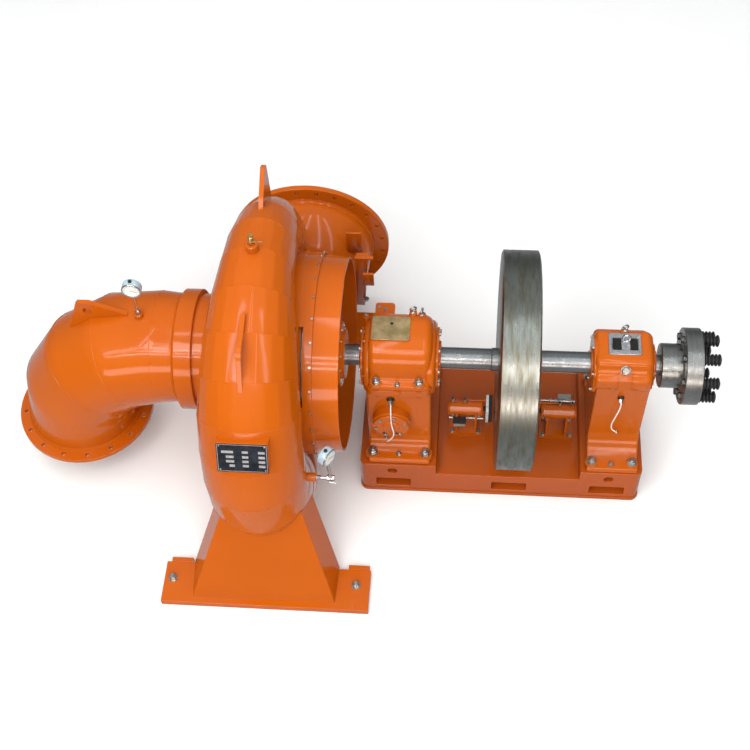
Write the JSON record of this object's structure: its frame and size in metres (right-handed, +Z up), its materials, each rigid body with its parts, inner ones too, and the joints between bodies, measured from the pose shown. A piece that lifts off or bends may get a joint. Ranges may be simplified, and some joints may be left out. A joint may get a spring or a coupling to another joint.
{
  "type": "horizontal francis turbine set",
  "caption": "Horizontal shaft Francis water turbine with spiral case, draft elbow, bearings on a base frame, flywheel, brakes and a pin coupling half.",
  "frame": {"origin": "on the underside of the base frame, below the middle of the flywheel", "axes": "+X along the shaft from turbine to coupling, +Y away from the front, +Z up"},
  "size_m": [3.9951, 2.2553, 1.8773],
  "materials": {
    "orange_enamel": "glossy orange enamel on steel",
    "bright_steel": "turned steel with oil stains",
    "plated_steel": "bright plated steel",
    "brass": "dull brass",
    "black_rubber": "black rubber sleeve",
    "brake_lining": "dark friction lining",
    "gauge_case": "pale grey gauge case",
    "plate_black": "bare black plate"
  },
  "bodies": {
    "stand": {"base_frame": "orange_enamel", "brake_bracket_left": "orange_enamel", "brake_bracket_right": "orange_enamel", "draft_collar": "orange_enamel", "draft_elbow": "orange_enamel", "draft_flange": "orange_enamel", "drum_ring": "orange_enamel", "gauge_elbow": "gauge_case", "gauge_scroll": "gauge_case", "guide_band": "orange_enamel", "head_cover": "orange_enamel", "inlet_flange": "orange_enamel", "inspection_plate": "brass", "link_bracket": "orange_enamel", "main_bearing_base": "orange_enamel", "main_bearing_cap": "orange_enamel", "main_bearing_cover_left": "orange_enamel", "main_bearing_cover_right": "orange_enamel", "nameplate": "plate_black", "oil_cover": "orange_enamel", "outboard_cap": "orange_enamel", "outboard_cover_left": "orange_enamel", "outboard_cover_right": "orange_enamel", "outboard_pedestal": "orange_enamel", "outboard_sight_window": "plated_steel", "rear_bracket": "orange_enamel", "scroll_case": "orange_enamel", "scroll_foot_front": "orange_enamel", "scroll_foot_rear": "orange_enamel", "seal_housing": "orange_enamel", "stay_ring": "orange_enamel", "vent_cock": "brass"},
    "rotor": {"shaft": "bright_steel", "flywheel": "bright_steel", "coupling_half": "bright_steel", "runner": "bright_steel", "coupling_pin_1": "black_rubber", "coupling_pin_2": "black_rubber", "coupling_pin_3": "black_rubber", "coupling_pin_4": "black_rubber", "coupling_pin_5": "black_rubber", "coupling_pin_6": "black_rubber", "coupling_pin_7": "black_rubber", "coupling_pin_8": "black_rubber"},
    "regulating_ring": {"gate_ring": "bright_steel"},
    "brake_shoe_left": {"brake_pad_left": "brake_lining"},
    "brake_shoe_right": {"brake_pad_right": "brake_lining"},
    "cock_lever": {"vent_cock_lever": "brass"}
  },
  "joints": [
    {"name": "rotor_turn", "type": "hinge", "parent": "stand", "child": "rotor", "pos_m": [0, 0, 0.88], "axis": [1, 0, 0], "continuous": true},
    {"name": "regulating_ring_turn", "type": "hinge", "parent": "stand", "child": "regulating_ring", "pos_m": [-1.1, 0, 0.88], "axis": [1, 0, 0], "range_deg": [-12, 12]},
    {"name": "brake_left_slide", "type": "slide", "parent": "stand", "child": "brake_shoe_left", "axis": [1, 0, 0], "range_m": [0, 0.008]},
    {"name": "brake_right_slide", "type": "slide", "parent": "stand", "child": "brake_shoe_right", "axis": [-1, 0, 0], "range_m": [0, 0.008]},
    {"name": "cock_lever_turn", "type": "hinge", "parent": "stand", "child": "cock_lever", "pos_m": [-1.34, -0.0394, 1.8533], "axis": [0, -1, 0], "range_deg": [0, 90]}
  ]
}
